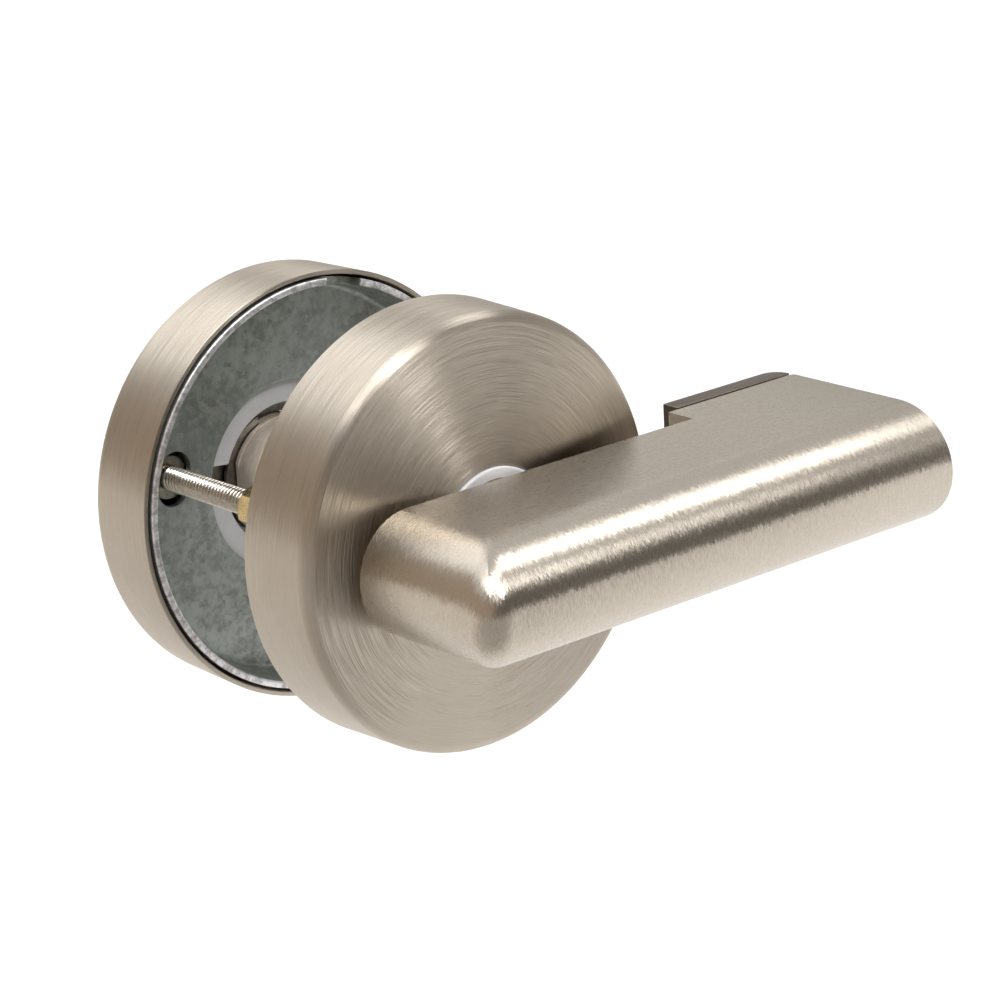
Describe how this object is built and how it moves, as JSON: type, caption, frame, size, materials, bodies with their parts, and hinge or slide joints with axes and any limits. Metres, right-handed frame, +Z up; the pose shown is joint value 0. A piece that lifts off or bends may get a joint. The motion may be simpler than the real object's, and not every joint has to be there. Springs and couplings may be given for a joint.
{
  "type": "door lever handle",
  "caption": "Straight bar door lever on a round sprung rose, joined by a square spindle and through screws to the rose for the other side of the door.",
  "frame": {"origin": "on the spindle axis, halfway between the two roses, in the middle of the door", "axes": "+X along the lever, +Y from the lever's side of the door to the other side, +Z up"},
  "size_m": [0.1045, 0.1087, 0.0704],
  "materials": {
    "satin_nickel": "satin nickel, brushed round the roses and across the lever",
    "cap_nickel": "dark satin nickel",
    "galvanised_steel": "galvanised, mottled grey",
    "plated_steel": "bright nickel plate, lightly worn",
    "screw_nickel": "nickel plate",
    "spring_steel": "dark oiled spring steel",
    "brass": "pale machined brass",
    "white_nylon": "moulded white nylon",
    "black_rubber": "matt black gasket"
  },
  "bodies": {
    "front_housing": {"front_rose": "satin_nickel", "front_dish": "galvanised_steel", "front_bush": "white_nylon", "front_spring_cage": "white_nylon", "front_cage_cover": "galvanised_steel", "left_post": "brass", "right_post": "brass"},
    "lever": {"lever_body": "satin_nickel", "lever_cap": "cap_nickel", "lever_cap_gasket": "black_rubber", "upper_cap_screw": "plated_steel", "lower_cap_screw": "plated_steel", "lever_set_screw": "spring_steel", "front_hub": "plated_steel", "front_cam": "spring_steel", "front_spring": "spring_steel", "front_retaining_ring": "spring_steel", "spindle": "galvanised_steel"},
    "rear_housing": {"rear_rose": "satin_nickel", "rear_dish": "galvanised_steel", "rear_bush": "white_nylon", "rear_spring_cage": "white_nylon", "rear_cage_cover": "galvanised_steel", "left_through_screw": "screw_nickel", "right_through_screw": "screw_nickel"},
    "rear_drive": {"rear_hub": "plated_steel", "rear_cam": "spring_steel", "rear_spring": "spring_steel", "rear_retaining_ring": "spring_steel"}
  },
  "joints": [
    {"name": "lever_turn", "type": "hinge", "parent": "front_housing", "child": "lever", "pos_m": [0, 0, 0], "axis": [0, 1, 0], "range_deg": [-45, 45], "stiffness_Nm_per_rad": 1, "springref_deg": -4.58},
    {"name": "door_thickness", "type": "slide", "parent": "front_housing", "child": "rear_housing", "axis": [0, 1, 0], "range_m": [0, 0.0192]},
    {"name": "rear_hub_turn", "type": "hinge", "parent": "rear_housing", "child": "rear_drive", "pos_m": [0, 0, 0], "axis": [0, 1, 0], "range_deg": [-45, 45]}
  ],
  "couplings": [
    {"joint": "rear_hub_turn", "follows": "lever_turn", "ratio": 1}
  ]
}
